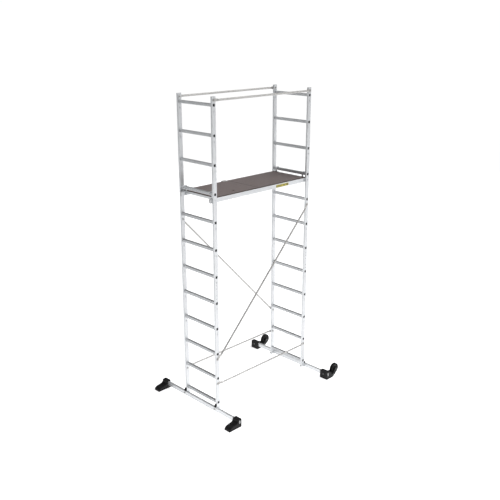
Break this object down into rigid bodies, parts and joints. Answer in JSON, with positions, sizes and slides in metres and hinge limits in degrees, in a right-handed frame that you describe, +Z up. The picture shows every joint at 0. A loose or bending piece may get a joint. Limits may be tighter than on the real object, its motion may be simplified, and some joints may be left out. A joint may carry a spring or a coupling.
{
  "type": "mobile tower scaffold",
  "caption": "Free-standing aluminium tower scaffold with ladder end frames, a decked platform with trapdoor, braces, guardrails, base beams, shoes and tilt-and-roll wheels.",
  "frame": {"origin": "on the ground, in the middle of the whole footprint", "axes": "+X from the shoe end to the wheel end, +Y to the back, +Z up"},
  "size_m": [1.7956, 1.23, 3.284],
  "materials": {
    "aluminium_profile": "satin extruded aluminium, lightly brushed",
    "ribbed_aluminium": "ribbed extruded aluminium",
    "galvanised_tube": "warm grey galvanised steel tube",
    "zinc_fasteners": "zinc plated",
    "galvanised_plate": "galvanised steel plate",
    "deck_board": "film-faced plywood, brown, slip-resistant",
    "moulded_plastic": "black moulded plastic",
    "tyre": "black solid rubber",
    "hub_plastic": "dark grey moulded plastic"
  },
  "bodies": {
    "frame": {"base_beam_shoe_end": "aluminium_profile", "base_beam_wheel_end": "aluminium_profile", "base_bolts": "zinc_fasteners", "brace_bolts": "zinc_fasteners", "deck_boards": "deck_board", "diagonal_brace_back": "galvanised_tube", "diagonal_brace_front": "galvanised_tube", "guardrail_back": "galvanised_tube", "guardrail_front": "galvanised_tube", "hatch_hinge_fixed_leaves": "galvanised_plate", "horizontal_brace_back": "galvanised_tube", "horizontal_brace_front": "galvanised_tube", "lower_stile_shoe_end_back": "aluminium_profile", "lower_stile_shoe_end_front": "aluminium_profile", "lower_stile_wheel_end_back": "aluminium_profile", "lower_stile_wheel_end_front": "aluminium_profile", "platform_claws": "galvanised_plate", "platform_cross_beams": "aluminium_profile", "platform_side_rails": "aluminium_profile", "rung_shoe_end_01": "ribbed_aluminium", "rung_shoe_end_02": "ribbed_aluminium", "rung_shoe_end_03": "ribbed_aluminium", "rung_shoe_end_04": "ribbed_aluminium", "rung_shoe_end_05": "ribbed_aluminium", "rung_shoe_end_06": "ribbed_aluminium", "rung_shoe_end_07": "ribbed_aluminium", "rung_shoe_end_08": "ribbed_aluminium", "rung_shoe_end_09": "ribbed_aluminium", "rung_shoe_end_10": "ribbed_aluminium", "rung_shoe_end_11": "ribbed_aluminium", "rung_shoe_end_12": "ribbed_aluminium", "rung_wheel_end_01": "ribbed_aluminium", "rung_wheel_end_02": "ribbed_aluminium", "rung_wheel_end_03": "ribbed_aluminium", "rung_wheel_end_04": "ribbed_aluminium", "rung_wheel_end_05": "ribbed_aluminium", "rung_wheel_end_06": "ribbed_aluminium", "rung_wheel_end_07": "ribbed_aluminium", "rung_wheel_end_08": "ribbed_aluminium", "rung_wheel_end_09": "ribbed_aluminium", "rung_wheel_end_10": "ribbed_aluminium", "rung_wheel_end_11": "ribbed_aluminium", "rung_wheel_end_12": "ribbed_aluminium", "shoe_back": "moulded_plastic", "shoe_front": "moulded_plastic", "stile_joint_spigots": "aluminium_profile", "stile_locators": "moulded_plastic", "upper_stile_shoe_end_back": "aluminium_profile", "upper_stile_shoe_end_front": "aluminium_profile", "upper_stile_wheel_end_back": "aluminium_profile", "upper_stile_wheel_end_front": "aluminium_profile", "wheel_axles": "zinc_fasteners", "wheel_bracket_back": "moulded_plastic", "wheel_bracket_front": "moulded_plastic"},
    "wheel_front": {"tyre_front": "tyre", "wheel_hub_front": "hub_plastic"},
    "wheel_back": {"tyre_back": "tyre", "wheel_hub_back": "hub_plastic"},
    "hatch": {"hatch_board": "deck_board", "hatch_hinge_moving_leaves": "galvanised_plate"}
  },
  "joints": [
    {"name": "wheel_front_spin", "type": "hinge", "parent": "frame", "child": "wheel_front", "pos_m": [0.83525, -0.562, 0.0655], "axis": [0, 1, 0], "continuous": true},
    {"name": "wheel_back_spin", "type": "hinge", "parent": "frame", "child": "wheel_back", "pos_m": [0.83525, 0.562, 0.0655], "axis": [0, 1, 0], "continuous": true},
    {"name": "hatch_hinge", "type": "hinge", "parent": "frame", "child": "hatch", "pos_m": [-0.38475, 0.2384, 2.3365], "axis": [-1, 0, 0], "range_deg": [0, 100]}
  ]
}
